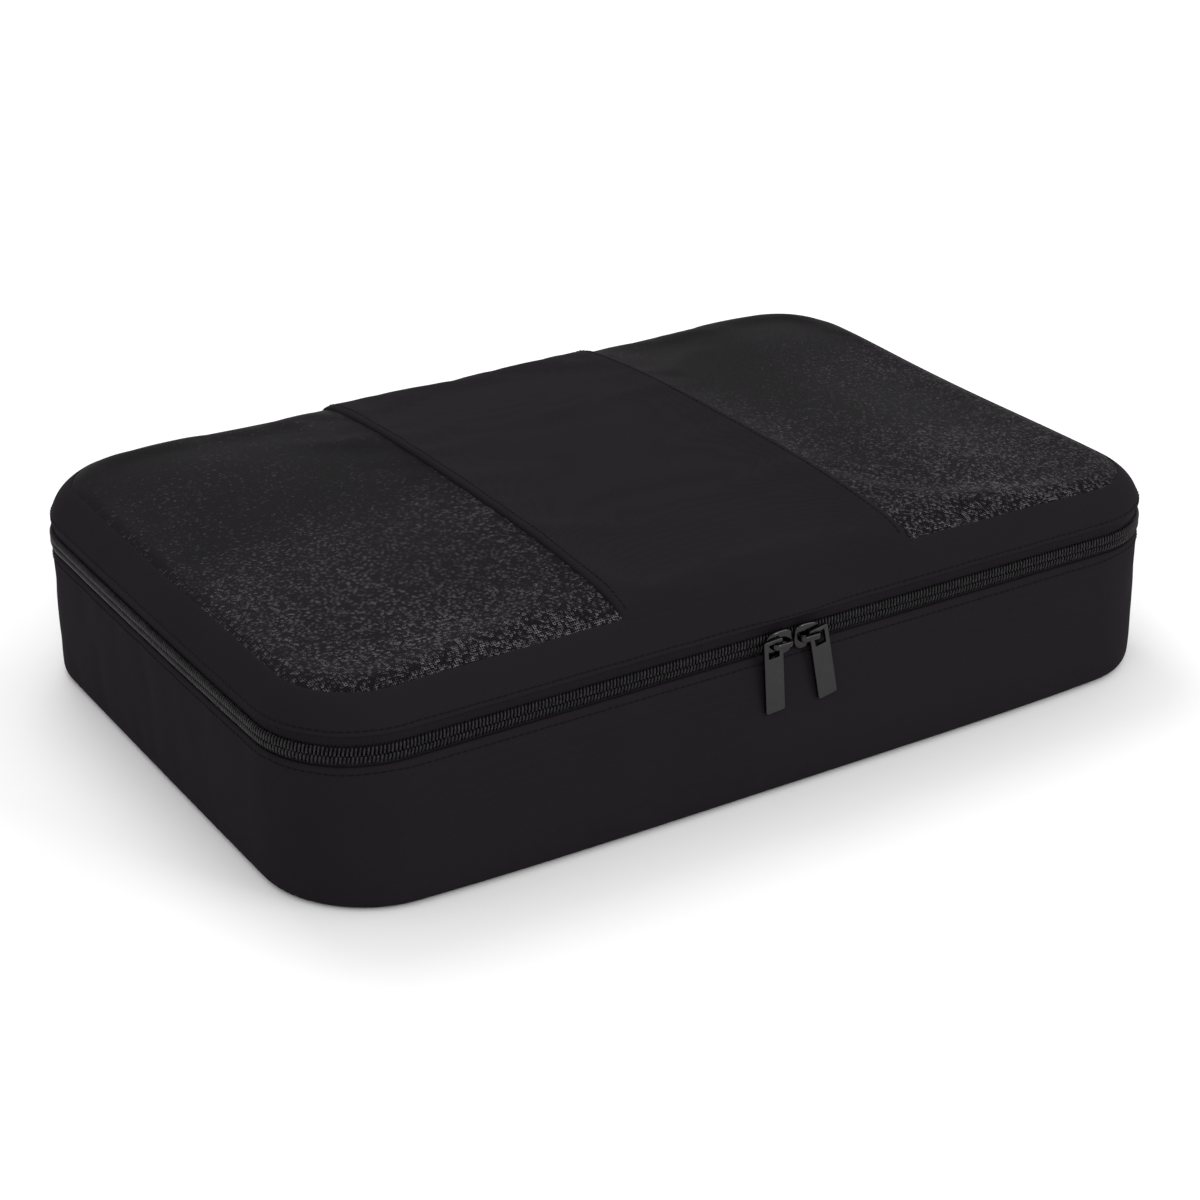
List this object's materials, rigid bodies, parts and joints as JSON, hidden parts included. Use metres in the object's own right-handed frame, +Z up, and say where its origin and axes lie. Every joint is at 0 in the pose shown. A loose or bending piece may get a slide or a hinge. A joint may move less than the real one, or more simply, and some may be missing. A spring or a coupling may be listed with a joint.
{
  "type": "packing cube",
  "caption": "Soft-sided travel packing cube: rounded fabric tray with a shallow lid of mesh windows and a solid middle panel, closed by a two-way coil zipper.",
  "frame": {"origin": "centre of the outline on the plane that the bottom rests on", "axes": "+X along the length to the right, -Y towards the zipper pulls at the front, +Z up through the lid"},
  "size_m": [0.4474, 0.2985, 0.106],
  "materials": {
    "nylon_cloth": "matt, fine plain weave, near-black charcoal nylon",
    "nylon_mesh": "fine knitted net over dark",
    "binding_tape": "matt ribbed tape",
    "zipper_tape": "matt woven tape",
    "nylon_coil": "satin nylon monofilament",
    "gunmetal": "dark gunmetal plating, semi-gloss"
  },
  "bodies": {
    "tray": {"bottom_panel": "nylon_cloth", "side_gusset": "nylon_cloth", "back_panel_lower": "nylon_cloth", "bottom_seam_binding": "binding_tape", "gusset_seam_binding": "binding_tape", "back_seam_binding_left": "binding_tape", "back_seam_binding_right": "binding_tape", "zipper_tape_lower": "zipper_tape", "zipper_coil_lower": "nylon_coil"},
    "lid": {"lid_band": "nylon_cloth", "back_panel_upper": "nylon_cloth", "mesh_panel_left": "nylon_mesh", "mesh_panel_right": "nylon_mesh", "centre_panel": "nylon_cloth", "lid_seam_binding": "binding_tape", "centre_seam_binding_left": "binding_tape", "centre_seam_binding_right": "binding_tape", "band_seam_binding": "binding_tape", "zipper_tape_upper": "zipper_tape", "zipper_coil_upper": "nylon_coil"},
    "slider_left": {"slider_body_left": "gunmetal", "slider_crown_left": "gunmetal"},
    "pull_left": {"pull_tab_left": "gunmetal"},
    "slider_right": {"slider_body_right": "gunmetal", "slider_crown_right": "gunmetal"},
    "pull_right": {"pull_tab_right": "gunmetal"}
  },
  "joints": [
    {"name": "lid_hinge", "type": "hinge", "parent": "tray", "child": "lid", "pos_m": [0, 0.146, 0.069], "axis": [-1, 0, 0], "range_deg": [0, 170]},
    {"name": "slider_left_run", "type": "slide", "parent": "tray", "child": "slider_left", "axis": [-1, 0, 0], "range_m": [0, 0.16]},
    {"name": "slider_right_run", "type": "slide", "parent": "tray", "child": "slider_right", "axis": [1, 0, 0], "range_m": [0, 0.155]},
    {"name": "pull_left_swing", "type": "hinge", "parent": "slider_left", "child": "pull_left", "pos_m": [-0.00875, -0.15005, 0.069], "axis": [0, 1, 0], "range_deg": [-6, 94]},
    {"name": "pull_right_swing", "type": "hinge", "parent": "slider_right", "child": "pull_right", "pos_m": [0.01475, -0.15005, 0.069], "axis": [0, -1, 0], "range_deg": [-21, 79]}
  ]
}
